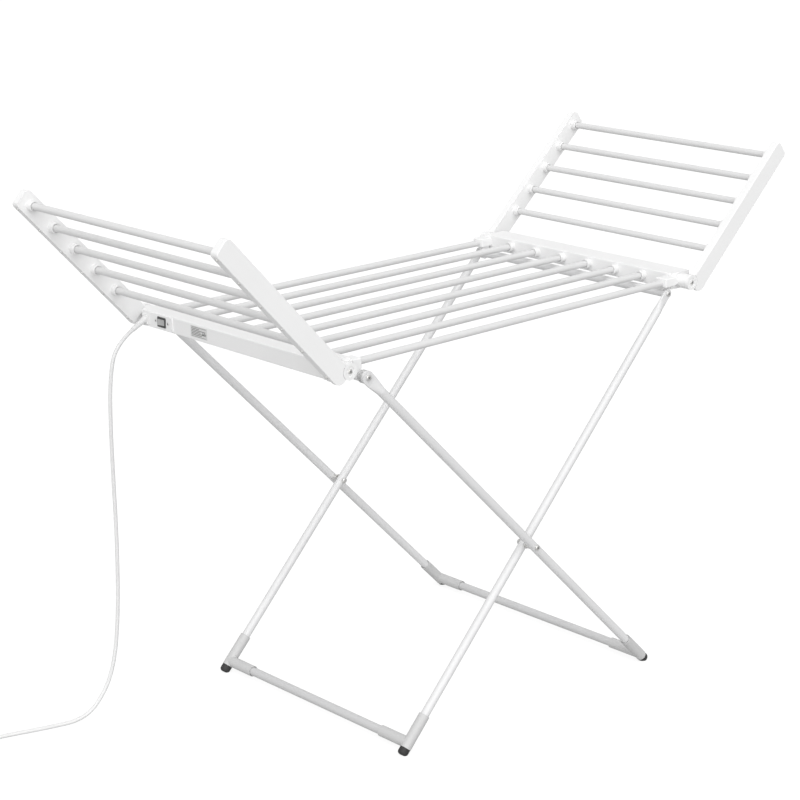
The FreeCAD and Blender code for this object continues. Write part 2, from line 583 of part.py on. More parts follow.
def elbow():
    """The far elbow of a frame, with its leg along -X from the corner and its bottom tube along -Y."""
    up = rod((-LEG_SLEEVE, 0, 0), (ELBOW_TOE, 0, 0), SLEEVE_RADIUS)
    across = rod((0, -CROSS_SLEEVE, 0), (0, 0, 0), SLEEVE_RADIUS)
    knee = Part.makeSphere(SLEEVE_RADIUS, V(0, 0, 0))
    cavity = LEG_R + SLEEVE_CLEARANCE
    mouth = LEG_R + MOUTH_GAP
    cuts = [rod((-LEG_SLEEVE - 1, 0, 0), (-SLEEVE_SEAT + 1, 0, 0), cavity),
            rod((0, -CROSS_SLEEVE - 1, 0), (0, -SLEEVE_SEAT + 1, 0), cavity),
            rod((-LEG_SLEEVE - 1, 0, 0), (-LEG_SLEEVE + MOUTH_DEPTH, 0, 0), mouth),
            rod((0, -CROSS_SLEEVE - 1, 0), (0, -CROSS_SLEEVE + MOUTH_DEPTH, 0), mouth)]
    return up.fuse([across, knee]).cut(cuts).removeSplitter()


def foot():
    """A rubber foot beyond the elbow, before the floor cuts it flat."""
    pad = rod((ELBOW_TOE, 0, 0), (ELBOW_TOE + FOOT_LENGTH, 0, 0), SLEEVE_RADIUS - FOOT_INSET)
    tip = ELBOW_TOE + FOOT_LENGTH
    return round_edges(pad, FOOT_EDGE, lambda e: abs(e.CenterOfMass.x - tip) < 0.1
                       and len(e.Vertexes) == 1)


def frame_pieces(y, splay, eye_radius, crossing_bore):
    """Both legs, the bottom tube, the elbows and the feet, placed as the outer frame.

    The legs' tops are at y, and their feet at y + splay.
    """
    leg = to_leg(leg_tube(eye_radius, crossing_bore, splay), y)
    above_floor = box(-2000, 2000, -1000, 1000, 0, 500)
    far_foot = to_leg(foot().translated(V(LEG_LENGTH, 0, 0)), y + splay).common(above_floor)
    far_elbow = to_leg(elbow().translated(V(LEG_LENGTH, 0, 0)), y + splay)
    cross_end = y + splay - SLEEVE_SEAT
    cross = tube((FOOT_REACH, -cross_end, BOTTOM_TUBE_HEIGHT), (FOOT_REACH, cross_end,
                 BOTTOM_TUBE_HEIGHT), LEG_R, LEG_WALL)
    return {"near": flip_y(leg), "far": leg, "bottom_tube": cross,
            "elbows": group([far_elbow, flip_y(far_elbow)]),
            "feet": group([far_foot, flip_y(far_foot)])}


def cross_bolt(y_head, y_nut, x, z, nut_radius):
    """A bolt along Y with a domed head at y_head and a round nut beyond y_nut, on the far side."""
    shank = rod((x, y_nut - 1, z), (x, y_head, z), BOLT_RADIUS)
    head = pan_head((x, y_head, z), (0, 1, 0), BOLT_HEAD_RADIUS, BOLT_HEAD_HEIGHT)
    nut = pan_head((x, y_nut, z), (0, -1, 0), nut_radius, 4.5)
    return shank.fuse([head, nut])


def make_legs():
    outer = frame_pieces(LEG_OUTER_Y, LEG_OUTER_SPLAY, LEG_R + EYE_OVER_OUTER,
                         BOLT_RADIUS + BAR_CLEARANCE)
    for key, name in (("near", "leg_outer_near"), ("far", "leg_outer_far"),
                      ("bottom_tube", "leg_outer_bottom_tube"), ("elbows", "leg_outer_elbows"),
                      ("feet", "leg_outer_feet")):
        parts[name] = outer[key]
    inner = frame_pieces(LEG_INNER_Y, LEG_INNER_SPLAY, LEG_R + EYE_OVER_INNER, BORE_RADIUS)
    for key, name in (("near", "leg_inner_near"), ("far", "leg_inner_far"),
                      ("bottom_tube", "leg_inner_bottom_tube"), ("elbows", "leg_inner_elbows"),
                      ("feet", "leg_inner_feet")):
        parts[name] = flip_x(inner[key])

    lug_in, lug_out = LUG_Y
    eye_in = LEG_OUTER_Y - EYE_THICKNESS / 2
    eye_out = LEG_OUTER_Y + EYE_THICKNESS / 2
    top = cross_bolt(eye_out, lug_in - SIDE_GAP, -PIVOT_X, PIVOT_Z, NUT_RADIUS)
    along = CROSSING / LEG_LENGTH
    outer_y = LEG_OUTER_Y + LEG_OUTER_SPLAY * along
    inner_y = LEG_INNER_Y + LEG_INNER_SPLAY * along
    drop = BOLT_HEAD_RADIUS * abs(LEG_OUTER_SPLAY) / LEG_LENGTH
    crossing = cross_bolt(outer_y + LEG_R + drop, inner_y - LEG_R - SIDE_GAP, 0, CROSSING_Z, NUT_RADIUS)
    washer_out = outer_y - LEG_R - drop
    washer_in = inner_y + LEG_R + SIDE_GAP
    washer = rod((0, washer_in, CROSSING_Z), (0, washer_in + WASHER_THICKNESS, CROSSING_Z), WASHER_RADIUS)
    washer = washer.fuse(rod((0, washer_in, CROSSING_Z), (0, washer_out, CROSSING_Z), WASHER_RADIUS - 1.4))
    washer = washer.cut(rod((0, LEG_INNER_Y - 5, CROSSING_Z), (0, LEG_OUTER_Y + 5, CROSSING_Z),
                            BOLT_RADIUS + BAR_CLEARANCE))
    bolts = [top, crossing, washer]
    parts["leg_outer_bolts"] = group(bolts + [flip_y(b) for b in bolts])

    bush_in = lug_out + SIDE_GAP
    bush_radius = LEG_R + EYE_OVER_OUTER - 0.2
    wide, deep = BUSH_GROOVE
    neck_end = bush_in + BUSH_NECK_LENGTH
    bush = rod((-PIVOT_X, bush_in, PIVOT_Z), (-PIVOT_X, eye_in, PIVOT_Z), BUSH_NECK_RADIUS)
    body = rod((-PIVOT_X, neck_end, PIVOT_Z), (-PIVOT_X, eye_in, PIVOT_Z), bush_radius)
    pitch = (eye_in - neck_end) / 3
    grooves = [tube((-PIVOT_X, neck_end + k * pitch - wide / 2, PIVOT_Z),
                    (-PIVOT_X, neck_end + k * pitch + wide / 2, PIVOT_Z), bush_radius + 1, deep + 1)
               for k in (1, 2)]
    bush = bush.fuse(body.cut(grooves))
    bush = bush.cut(rod((-PIVOT_X, lug_out, PIVOT_Z), (-PIVOT_X, eye_in + 1, PIVOT_Z),
                        BOLT_RADIUS + BAR_CLEARANCE)).removeSplitter()
    parts["leg_pivot_bushes"] = group([bush, flip_y(bush)])

    inner_eye = LEG_INNER_Y - EYE_THICKNESS / 2
    top_tube = tube((PIVOT_X, -inner_eye, PIVOT_Z), (PIVOT_X, inner_eye, PIVOT_Z), LEG_R, LEG_WALL)
    plugs = [rod((PIVOT_X, side * (inner_eye - 16), PIVOT_Z), (PIVOT_X, side * inner_eye, PIVOT_Z),
                 LEG_R - LEG_WALL).cut(rod((PIVOT_X, side * (inner_eye - 14), PIVOT_Z),
                 (PIVOT_X, side * (inner_eye + 1), PIVOT_Z), BOLT_RADIUS + BAR_CLEARANCE))
             for side in (-1, 1)]
    parts["leg_inner_top_tube"] = top_tube.fuse(plugs).removeSplitter()
    screw = rod((PIVOT_X, inner_eye - 12, PIVOT_Z), (PIVOT_X, inner_eye + EYE_THICKNESS, PIVOT_Z),
                BOLT_RADIUS)
    screw = screw.fuse(pan_head((PIVOT_X, inner_eye + EYE_THICKNESS, PIVOT_Z), (0, 1, 0),
                                BOLT_HEAD_RADIUS, BOLT_HEAD_HEIGHT))
    parts["leg_inner_bolts"] = group([screw, flip_y(screw)])


# ---------------------------------------------------------------- controls on the left beam
def make_controls():
    panel = box(-PANEL_FACE, -BEAM_OUT, PANEL_END - PANEL_LENGTH, PANEL_END,
                BEAM_BOTTOM + PANEL_MARGIN, BEAM_TOP - PANEL_MARGIN)
    panel = round_edges(panel, 2.0, runs_along(V(1, 0, 0)))
    lead_hole = rod((-PANEL_FACE - 1, RELIEF_Y, HINGE_HEIGHT), (-BEAM_OUT + 1, RELIEF_Y, HINGE_HEIGHT),
                    CORD_OD / 2 + 0.3)
    screw_rows = [SWITCH_Y - PANEL_SCREW_SPAN / 2, SWITCH_Y + PANEL_SCREW_SPAN / 2]
    screws = []
    for y in screw_rows:
        head = pan_head((-PANEL_FACE + 0.6, y, BAR_AXIS), (-1, 0, 0), 2.6, 1.2)
        screws.append(head.fuse(rod((-PANEL_FACE + 0.6, y, BAR_AXIS), (-BEAM_OUT + 0.5, y, BAR_AXIS), 1.3)))
    pockets = [rod((-PANEL_FACE - 1, y, BAR_AXIS), (-PANEL_FACE + 0.6, y, BAR_AXIS), 2.8)
               for y in screw_rows]
    pockets += [rod((-PANEL_FACE - 1, y, BAR_AXIS), (-BEAM_OUT + 1, y, BAR_AXIS), 1.35)
                for y in screw_rows]
    parts["control_panel"] = panel.cut([switch_cutout(), lead_hole] + pockets)
    tray_holes = [rod((-BEAM_OUT - 1, y, BAR_AXIS), (-BEAM_OUT + BEAM_WALL + 1, y, BAR_AXIS), 1.35)
                  for y in screw_rows]
    parts["beam_left_tray"] = parts["beam_left_tray"].cut(tray_holes)
    parts["panel_screws"] = group(screws)

    half, high = SWITCH_LENGTH / 2, SWITCH_HEIGHT / 2
    face = PANEL_FACE + BEZEL_PROUD
    rim = box(-face, -PANEL_FACE, SWITCH_Y - half, SWITCH_Y + half, BAR_AXIS - high, BAR_AXIS + high)
    rim = round_edges(rim, 1.0, runs_along(V(1, 0, 0)))
    inner = (half - BEZEL_RIM, high - BEZEL_RIM)
    case = box(-PANEL_FACE, -PANEL_FACE + 16, SWITCH_Y - inner[0], SWITCH_Y + inner[0],
               BAR_AXIS - inner[1], BAR_AXIS + inner[1])
    wall = 1.0
    well = box(-face - 1, -PANEL_FACE + 9, SWITCH_Y - inner[0] + wall, SWITCH_Y + inner[0] - wall,
               BAR_AXIS - inner[1] + wall, BAR_AXIS + inner[1] - wall)
    parts["switch_case"] = rim.fuse(case).cut(well).removeSplitter()

    key_half = inner[0] - wall - ROCKER_THROW_GAP
    key_high = inner[1] - wall - ROCKER_THROW_GAP
    key = box(-face - 1.6, -face + 4.0, SWITCH_Y - key_half, SWITCH_Y + key_half,
              BAR_AXIS - key_high, BAR_AXIS + key_high)
    dish = rod((-face - 13.2, SWITCH_Y, BAR_AXIS - high), (-face - 13.2, SWITCH_Y, BAR_AXIS + high), 12.6)
    pivot_x = -face + 2.0
    key = round_edges(key.cut(dish), 0.8, lambda e: e.BoundBox.XMax < -face - 0.9)
    key.rotate(V(pivot_x, SWITCH_Y, BAR_AXIS), V(0, 0, 1), ROCKER_TILT)
    parts["rocker_switch"] = key

    parts["rating_label"] = box(-BEAM_OUT - LABEL_THICKNESS, -BEAM_OUT, LABEL_Y - LABEL_LENGTH / 2,
                                LABEL_Y + LABEL_LENGTH / 2, BAR_AXIS - LABEL_HEIGHT / 2,
                                BAR_AXIS + LABEL_HEIGHT / 2)

    floor = BEAM_BOTTOM + BEAM_WALL
    start = SWITCH_Y - 57.5
    block = box(-BEAM_MID - 7, -BEAM_MID + 7, start, start + 26, floor, floor + 11)
    block = block.cut([rod((-BEAM_MID - 8, start + 6 + 7 * k, floor + 5.5),
                           (-BEAM_MID + 8, start + 6 + 7 * k, floor + 5.5), 1.5) for k in range(3)])
    parts["terminal_block"] = block
    parts["thermal_cutout"] = rod((-BEAM_MID, 10, floor + 4), (-BEAM_MID, 34, floor + 4), 4.0)
    return pivot_x


# ---------------------------------------------------------------- mains cord
def cord_path(points):
    """Straight runs joined by tangent arcs, each arc as large as its two runs allow."""
    points = [V(*p) for p in points]
    edges, radii = [], []
    last = points[0]
    for before, here, after in zip(points, points[1:], points[2:]):
        into, out = (here - before), (after - here)
        short = min(into.Length, out.Length)
        into.normalize()
        out.normalize()
        turn = into.getAngle(out)
        trim = 0.45 * short
        radii.append(trim / math.tan(turn / 2))
        a, b = here - into * trim, here + out * trim
        inward = out - into
        inward.normalize()
        middle = here + inward * (radii[-1] / math.cos(turn / 2) - radii[-1])
        edges += [Part.makeLine(last, a), Part.Arc(a, middle, b).toShape()]
        last = b
    edges.append(Part.makeLine(last, points[-1]))
    return Part.Wire(edges), radii


def make_cord():
    droop = math.radians(RELIEF_DROOP)
    along = V(-math.cos(droop), 0, -math.sin(droop))
    thick, wide, high = RELIEF_BASE
    foot_face = V(-PANEL_FACE - thick, RELIEF_Y, HINGE_HEIGHT)
    base = box(-PANEL_FACE - thick, -PANEL_FACE, RELIEF_Y - wide / 2, RELIEF_Y + wide / 2,
               HINGE_HEIGHT - high / 2, HINGE_HEIGHT + high / 2)
    base = round_edges(base, 1.5, lambda e: e.BoundBox.XMax < -PANEL_FACE - thick + 0.01)
    root = foot_face - along * 3
    cone = Part.makeCone(RELIEF_ROOT + 0.3, CORD_OD / 2 + 0.6, RELIEF_LENGTH + 3, root, along)
    cone = cone.common(box(-900, -PANEL_FACE, 0, 400, 0, 900))
    parts["strain_relief"] = base.fuse(cone).removeSplitter()

    tip = foot_face + along * RELIEF_LENGTH
    route, radii = cord_path([tuple(tip)] + CORD_POINTS)
    print("cord arc radii:", " ".join("%.0f" % r for r in radii))
    section = Part.Wire([Part.Circle(tip, along, CORD_OD / 2).toShape()])
    cord = route.makePipeShell([section], True, False)
    expected = math.pi * CORD_OD ** 2 / 4 * route.Length
    print("cord length %.1f, volume %.1f of %.1f, valid %s"
          % (route.Length, cord.Volume, expected, cord.isValid()))
    parts["mains_cord"] = cord

    cx, cy = COIL_CENTRE
    ring = Part.makeCylinder(COIL_OUTER, COIL_HEIGHT, V(cx, cy, 0))
    ring = ring.cut(Part.makeCylinder(COIL_INNER, COIL_HEIGHT + 2, V(cx, cy, -1)))
    ring = ring.makeFillet(4.0, [e for e in ring.Edges if len(e.Vertexes) == 1])
    parts["cord_coil"] = ring

    plug_x = cx - COIL_OUTER + 0.5
    plug_top = cy - 16.0
    body = box(plug_x - PLUG_WIDTH / 2, plug_x + PLUG_WIDTH / 2, plug_top - 30 - PLUG_LENGTH,
               plug_top - 30, 0, PLUG_HEIGHT)
    body = round_edges(body, 5.0, runs_along(V(0, 1, 0)))
    neck = Part.makeCone(CORD_OD / 2 + 0.6, 5.2, 30, V(plug_x, plug_top, CORD_OD / 2 + 0.6 + 0.9),
                         V(0, -1, 0.06))
    parts["plug_body"] = body.fuse(neck).removeSplitter()
    pins = [rod((plug_x + side * PLUG_PIN_SPAN / 2, plug_top - 30 - PLUG_LENGTH, PLUG_HEIGHT / 2),
                (plug_x + side * PLUG_PIN_SPAN / 2, plug_top - 30 - PLUG_LENGTH - PLUG_PIN_LENGTH,
                 PLUG_HEIGHT / 2), PLUG_PIN_RADIUS) for side in (-1, 1)]
    parts["plug_pins"] = group(pins)
    return tip


make_beams()
make_corners()
make_deck_bars()
make_wings()
make_legs()
rocker_pivot_x = make_controls()
cord_exit = make_cord()

# The rack stands with the middle of its own box, without the cord, at the origin.
CORD_NODES = ("mains_cord", "cord_coil", "plug_body", "plug_pins")
whole = FreeCAD.BoundBox()
for name, shape in parts.items():
    if name not in CORD_NODES:
        whole.add(shape.optimalBoundingBox(False))
shift = V(-whole.Center.x, -whole.Center.y, -whole.ZMin)

os.makedirs("parts", exist_ok=True)
for name, shape in parts.items():
    shape.translated(shift).exportStep("parts/%s.step" % name)

print("nodes %d, shift %.4f %.4f %.4f, box %.2f %.2f %.2f"
      % (len(parts), shift.x, shift.y, shift.z, whole.XLength, whole.YLength, whole.ZLength))
print("hinges x %.4f %.4f z %.4f" % (-HINGE_REACH + shift.x, HINGE_REACH + shift.x, HINGE_HEIGHT + shift.z))
print("leg pivot x %.4f z %.4f, crossing x %.4f z %.4f, slope %.4f"
      % (-PIVOT_X + shift.x, PIVOT_Z + shift.z, shift.x, CROSSING_Z + shift.z, LEG_SLOPE))
print("rocker pivot x %.4f y %.4f z %.4f" % (rocker_pivot_x + shift.x, SWITCH_Y, BAR_AXIS + shift.z))
print("cord exit %.3f %.3f %.3f" % tuple(cord_exit + shift))
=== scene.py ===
"""A heated winged clothes airer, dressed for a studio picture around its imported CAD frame."""
import json
import math

import bmesh
import bpy
from mathutils import Matrix, Vector


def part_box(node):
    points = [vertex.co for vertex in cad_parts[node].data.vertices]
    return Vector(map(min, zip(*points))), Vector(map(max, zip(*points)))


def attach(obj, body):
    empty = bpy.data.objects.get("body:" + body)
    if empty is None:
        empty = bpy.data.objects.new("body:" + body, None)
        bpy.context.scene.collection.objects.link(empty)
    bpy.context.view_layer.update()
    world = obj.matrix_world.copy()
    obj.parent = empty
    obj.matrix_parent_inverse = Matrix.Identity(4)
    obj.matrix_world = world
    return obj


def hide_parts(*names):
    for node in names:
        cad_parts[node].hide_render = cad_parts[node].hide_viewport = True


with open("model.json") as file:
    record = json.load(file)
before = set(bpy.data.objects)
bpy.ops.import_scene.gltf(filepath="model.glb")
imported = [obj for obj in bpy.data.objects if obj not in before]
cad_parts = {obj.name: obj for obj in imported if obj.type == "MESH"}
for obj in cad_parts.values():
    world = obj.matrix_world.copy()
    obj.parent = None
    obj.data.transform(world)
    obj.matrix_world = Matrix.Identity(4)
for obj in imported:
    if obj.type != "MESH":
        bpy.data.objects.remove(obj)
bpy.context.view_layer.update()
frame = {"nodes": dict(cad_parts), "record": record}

# ---- Camera ----
PICTURE = 800               # the picture's side, the unit of the next two values
FOCAL_LENGTH = 2129.8
AXIS_AT = (541.5, 240.8)    # where the camera's axis meets the picture, from its top left
CAMERA_AT = Vector((-2.4401 - 0.00886, -2.6540, 1.5833))
CAMERA_YAW = 45.80          # degrees from +Y towards +X
CAMERA_PITCH = 12.53        # degrees below level
SENSOR = 36.0


def add_camera():
    data = bpy.data.cameras.new("camera")
    data.sensor_width = SENSOR
    data.lens = SENSOR * (FOCAL_LENGTH / PICTURE)
    data.shift_x = (PICTURE / 2 - AXIS_AT[0]) / PICTURE
    data.shift_y = (AXIS_AT[1] - PICTURE / 2) / PICTURE
    data.clip_end = 50.0
    camera = bpy.data.objects.new("camera", data)
    camera.location = CAMERA_AT
    camera.rotation_euler = (math.radians(90 - CAMERA_PITCH), 0, math.radians(-CAMERA_YAW))
    bpy.context.scene.collection.objects.link(camera)
    bpy.context.scene.camera = camera


add_camera()

# ---- Mains cord ----
# Millimetres, with X from the middle of the rack as designed, which packs at x = FRAME_X.
FRAME_X = -8.8552
CORD_OD = 6.5
CORD_EXIT = (-467.892 - FRAME_X, 221.0, 670.511)
CORD_POINTS = [
    (-494.0, 221.0, 651.0),
    (-507.0, 222.0, 596.0),
    (-509.0, 223.5, 515.0),
    (-507.0, 225.5, 425.0),
    (-504.0, 228.0, 336.0),
    (-503.0, 231.0, 248.0),
    (-506.0, 233.0, 166.0),
    (-514.0, 235.0, 98.0),
    (-532.0, 238.0, 46.0),
    (-571.0, 244.0, 3.4),
    (-640.0, 263.0, 3.4),
    (-716.0, 292.0, 3.4),
    (-775.0, 299.5, 3.4),
    (-812.0, 299.6, 3.4),
]
COIL_CENTRE = (-812.0, 258.0)
COIL_TURNS = 2.25
COIL_STEPS = 14             # control points in a turn
COIL_START = 90             # degrees round the centre from +X
# Radius of the path and height of its middle, each against turns made.
COIL_RADII = [(0, 41.6), (1.0, 35.0), (1.2, 35.0), (1.9, 42.0), (2.05, 42.4), (2.25, 45.2)]
COIL_HEIGHTS = [(0, 3.4), (0.88, 3.4), (1.15, 10.1), (2.1, 10.1), (2.25, 9.0)]
# The last two points, outside the plug's neck and inside it.
PLUG_NECK = [(-857.0, 242.0 + 5, 4.75 + 0.8), (-857.0, 242.0 - 4, 4.75 + 0.2)]
POINT_RADIUS = 0.004        # the curve's own box grows by this, so it is kept small


def between(table, at):
    """Reads a value off a table of (position, value) pairs, in straight steps."""
    for (a, low), (b, high) in zip(table, table[1:]):
        if at <= b:
            return low + (high - low) * (at - a) / (b - a)
    return table[-1][1]


def add_cord():
    """The cord, from its exit to the floor, along it, round the coil and into the plug."""
    route = [CORD_EXIT] + CORD_POINTS
    steps = int(COIL_TURNS * COIL_STEPS)
    for k in range(1, steps + 1):
        turn = COIL_TURNS * k / steps
        angle = math.radians(COIL_START + 360 * turn)
        radius = between(COIL_RADII, turn)
        route.append((COIL_CENTRE[0] + radius * math.cos(angle),
                      COIL_CENTRE[1] + radius * math.sin(angle), between(COIL_HEIGHTS, turn)))
    route += PLUG_NECK
    curve = bpy.data.curves.new("cord", "CURVE")
    curve.dimensions = "3D"
    spline = curve.splines.new("NURBS")
    spline.points.add(len(route) - 1)
    for point, (x, y, z) in zip(spline.points, route):
        point.co = ((x + FRAME_X) / 1000, y / 1000, z / 1000, 1)
        point.radius = POINT_RADIUS
    spline.order_u = 3
    spline.use_endpoint_u = True
    spline.resolution_u = 8
    curve.bevel_depth = CORD_OD / 2000 / POINT_RADIUS
    curve.bevel_resolution = 5
    curve.use_fill_caps = True
    piece = bpy.data.objects.new("cord", curve)
    bpy.context.scene.collection.objects.link(piece)
    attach(piece, "deck")
    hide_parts("mains_cord", "cord_coil")
    return piece


cord = add_cord()

# ---- Floor and light ----
SKY = 0.55                  # strength of the light from above
GROUND = 0.50               # from below
KEY = 2.25                  # brightest part of the broad key, towards KEY_FROM
KEY_FROM = Vector((-0.5, -0.6, 0.62)).normalized()
KEY_POWER = 4.0             # higher is narrower
FILL = 0.35                 # weak light from behind, towards FILL_FROM
FILL_FROM = Vector((0.6, 0.75, 0.1)).normalized()
FILL_POWER = 3.0
FLOOR_GLOW = 0.84           # the floor lights itself, and nothing else
FLOOR_COLOUR = 0.22
FLOOR_REACH = 12            # metres from its middle to an edge
HORIZON = 0.5               # half the height over which GROUND turns into SKY


class Nodes:
    """Shorthand for building a node tree."""

    def __init__(self, tree):
        self.tree = tree

    def add(self, kind, values=None, links=None, **settings):
        node = self.tree.nodes.new(kind)
        for name, value in settings.items():
            setattr(node, name, value)
        for key, value in (values or {}).items():
            node.inputs[key].default_value = value
        for key, source in (links or {}).items():
            self.tree.links.new(source, node.inputs[key])
        return node

    def maths(self, operation, a, b=None):
        """A Math node on sockets or plain numbers; the result's socket."""
        node = self.tree.nodes.new("ShaderNodeMath")
        node.operation = operation
        for k, value in enumerate((a, b)):
            if isinstance(value, (int, float)):
                node.inputs[k].default_value = value
            elif value is not None:
                self.tree.links.new(value, node.inputs[k])
        return node.outputs[0]


def shader_material(name):
    material = bpy.data.materials.new(name)
    material.use_nodes = True
    return material, material.node_tree.nodes["Principled BSDF"]


def add_floor():
    """A plain white floor that shows to the camera but not in the object's own shading."""
    mesh = bpy.data.meshes.new("floor")
    shape = bmesh.new()
    bmesh.ops.create_grid(shape, x_segments=2, y_segments=2, size=FLOOR_REACH)
    shape.to_mesh(mesh)
    shape.free()
    floor = bpy.data.objects.new("floor", mesh)
    bpy.context.scene.collection.objects.link(floor)
    material, shader = shader_material("floor_white")
    shader.inputs["Base Color"].default_value = (FLOOR_COLOUR, FLOOR_COLOUR, FLOOR_COLOUR, 1)
    shader.inputs["Roughness"].default_value = 1.0
    shader.inputs["Specular IOR Level"].default_value = 0.0
    shader.inputs["Emission Color"].default_value = (1, 1, 1, 1)
    shader.inputs["Emission Strength"].default_value = FLOOR_GLOW
    mesh.materials.append(material)
    floor.visible_diffuse = False
    floor.visible_glossy = False


def add_world():
    """Soft light from all round, a little stronger from above, with a broad key and a weak fill."""
    world = bpy.data.worlds.new("studio")
    world.use_nodes = True
    make = Nodes(world.node_tree)
    coords = make.add("ShaderNodeTexCoord").outputs["Generated"]
    height = make.add("ShaderNodeSeparateXYZ", links={0: coords}).outputs["Z"]
    sky = make.add("ShaderNodeMapRange", {"From Min": -HORIZON, "From Max": HORIZON,
                   "To Min": GROUND, "To Max": SKY}, {"Value": height},
                   interpolation_type="SMOOTHSTEP")
    total = sky.outputs["Result"]
    for strength, source, power in ((KEY, KEY_FROM, KEY_POWER), (FILL, FILL_FROM, FILL_POWER)):
        facing = make.add("ShaderNodeVectorMath", {1: tuple(source)}, {0: coords},
                          operation="DOT_PRODUCT").outputs["Value"]
        lobe = make.maths("POWER", make.maths("MAXIMUM", facing, 0.0), power)
        total = make.maths("ADD", total, make.maths("MULTIPLY", lobe, strength))
    background = world.node_tree.nodes["Background"]
    background.inputs["Color"].default_value = (1, 1, 1, 1)
    world.node_tree.links.new(total, background.inputs["Strength"])
    bpy.context.scene.world = world
    bpy.context.scene.view_settings.view_transform = "Standard"


add_floor()
add_world()


# ---- Materials ----
PATCH_EDGES = (0.3, 0.7)    # where a patch is at its darkest and at its lightest


def surface(name, colour, roughness, grain=(900.0, 0.35), depth=0.00004, drift=0.03, patch=14.0,
            spread=0.08, metallic=0.0, second=None):
    """A surface with a fine relief, and slow drifts of colour and gloss over it.

    grain is the relief's scale in marks per metre and its roughness of detail, depth its height in
    metres, drift how much darker the darkest patches are, patch their scale, spread how far the
    roughness wanders, second the colour that drift darkens, if not the main one.
    """
    material, shader = shader_material(name)
    make = Nodes(material.node_tree)
    coords = make.add("ShaderNodeTexCoord").outputs["Object"]
    slow = make.add("ShaderNodeTexNoise", {"Scale": patch, "Detail": 3.0}, {"Vector": coords})
    ramp = make.add("ShaderNodeValToRGB", links={"Fac": slow.outputs["Fac"]})
    low, high = ramp.color_ramp.elements
    low.position, high.position = PATCH_EDGES
    low.color = (*[c * (1 - drift) for c in (second or colour)], 1)
    high.color = (*colour, 1)
    fine = make.add("ShaderNodeTexNoise", {"Scale": grain[0], "Detail": 2.0, "Roughness": grain[1]},
                    {"Vector": coords})
    gloss = make.add("ShaderNodeMapRange", {"To Min": roughness - spread,
                     "To Max": roughness + spread}, {"Value": slow.outputs["Fac"]})
    bump = make.add("ShaderNodeBump", {"Strength": 1.0, "Distance": depth},
                    {"Height": fine.outputs["Fac"]})
    links = material.node_tree.links
    links.new(ramp.outputs["Color"], shader.inputs["Base Color"])
    links.new(gloss.outputs["Result"], shader.inputs["Roughness"])
    links.new(bump.outputs["Normal"], shader.inputs["Normal"])
    shader.inputs["Metallic"].default_value = metallic
    return material


def grey(level, tint=0.0):
    """A neutral colour, slightly cool for a positive tint."""
    return (level, level, min(1.0, level + tint))


LOOKS = {
    "coated_aluminium": surface("coated_aluminium", grey(0.72), 0.34, (700, 0.3), 0.00003, 0.02),
    "coated_steel": surface("coated_steel", grey(0.75, 0.004), 0.36, (600, 0.3), 0.00004, 0.03),
    "housing_plastic": surface("housing_plastic", grey(0.89), 0.42, (2600, 0.5), 0.00003, 0.02),
    # Elbow plastic: a light grey of its own, set darker as painted shade for the dimmer light near
    # the floor.
    "elbow_plastic": surface("elbow_plastic", grey(0.58), 0.46, (2200, 0.5), 0.00004, 0.03),
    "collar_plastic": surface("collar_plastic", grey(0.84), 0.30, (2600, 0.5), 0.00002, 0.02),
    "bush_plastic": surface("bush_plastic", grey(0.60), 0.45, (2200, 0.5), 0.00003, 0.04),
    "foot_rubber": surface("foot_rubber", grey(0.035), 0.62, (1800, 0.6), 0.00008, 0.35),
    "zinc_steel": surface("zinc_steel", grey(0.86, 0.01), 0.38, (1600, 0.6), 0.00002, 0.06, 220.0,
                          0.1, metallic=1.0, second=(0.84, 0.83, 0.79)),
    "rocker_grey": surface("rocker_grey", grey(0.45), 0.30, (1500, 0.4), 0.00002, 0.05),
    "switch_black": surface("switch_black", grey(0.07), 0.45, (2200, 0.5), 0.00004, 0.2),
    "label_film": surface("label_film", grey(0.70), 0.30, (900, 0.3), 0.00001, 0.02),
    "heater_sleeve": surface("heater_sleeve", (0.55, 0.51, 0.42), 0.55, (1500, 0.5), 0.00003, 0.1),
    "cord_sheath": surface("cord_sheath", grey(0.78), 0.38, (1300, 0.5), 0.00004, 0.03),
    "plug_plastic": surface("plug_plastic", grey(0.80), 0.36, (2200, 0.5), 0.00003, 0.03),
    "plated_brass": surface("plated_brass", (0.72, 0.70, 0.64), 0.25, (1400, 0.5), 0.00001, 0.1,
                            160.0, 0.08, metallic=1.0),
    "cutout_steel": surface("cutout_steel", grey(0.5), 0.35, (1400, 0.5), 0.00002, 0.1, 200.0,
                            metallic=1.0),
    "terminal_plastic": surface("terminal_plastic", (0.72, 0.69, 0.60), 0.45, (1800, 0.5),
                                0.00003, 0.05),
}
# Painted shade: a near-black that stands in for the shadow inside the screws' cross recesses.
RECESS_PAINTED_SHADE = surface("recess_shadow", grey(0.14), 0.6, (1500, 0.5), 0.00002, 0.2)
PRINT_GREY = surface("label_print", grey(0.13), 0.5, (1500, 0.5), 0.00001, 0.1)
# Painted shade: a darker copy of coated_steel for the two bottom tubes, standing in for the dimmer
# light near the floor.
FLOOR_TUBE_PAINTED_SHADE = surface("coated_steel_painted_shade", grey(0.60, 0.004), 0.4, (600, 0.3), 0.00004, 0.04)
PAINTED_SHADE_LOOKS = {"leg_outer_bottom_tube": FLOOR_TUBE_PAINTED_SHADE, "leg_inner_bottom_tube": FLOOR_TUBE_PAINTED_SHADE}
for entry in frame["record"]["subparts"]:
    look = PAINTED_SHADE_LOOKS.get(entry["node"], LOOKS[entry["material_slot"]])
    for slot in frame["nodes"][entry["node"]].material_slots:
        slot.material = look
cord.data.materials.append(LOOKS["cord_sheath"])


# ---- Small details, in metres ----
CROSS_CORNER = 1.5          # a cross's inner corner, in half widths of its arm
CROSS_TAPER = 0.94
CROSS_DEPTH = 0.0004
CROSS_PROUD = 0.00006       # how far a cross stands over its screw's head


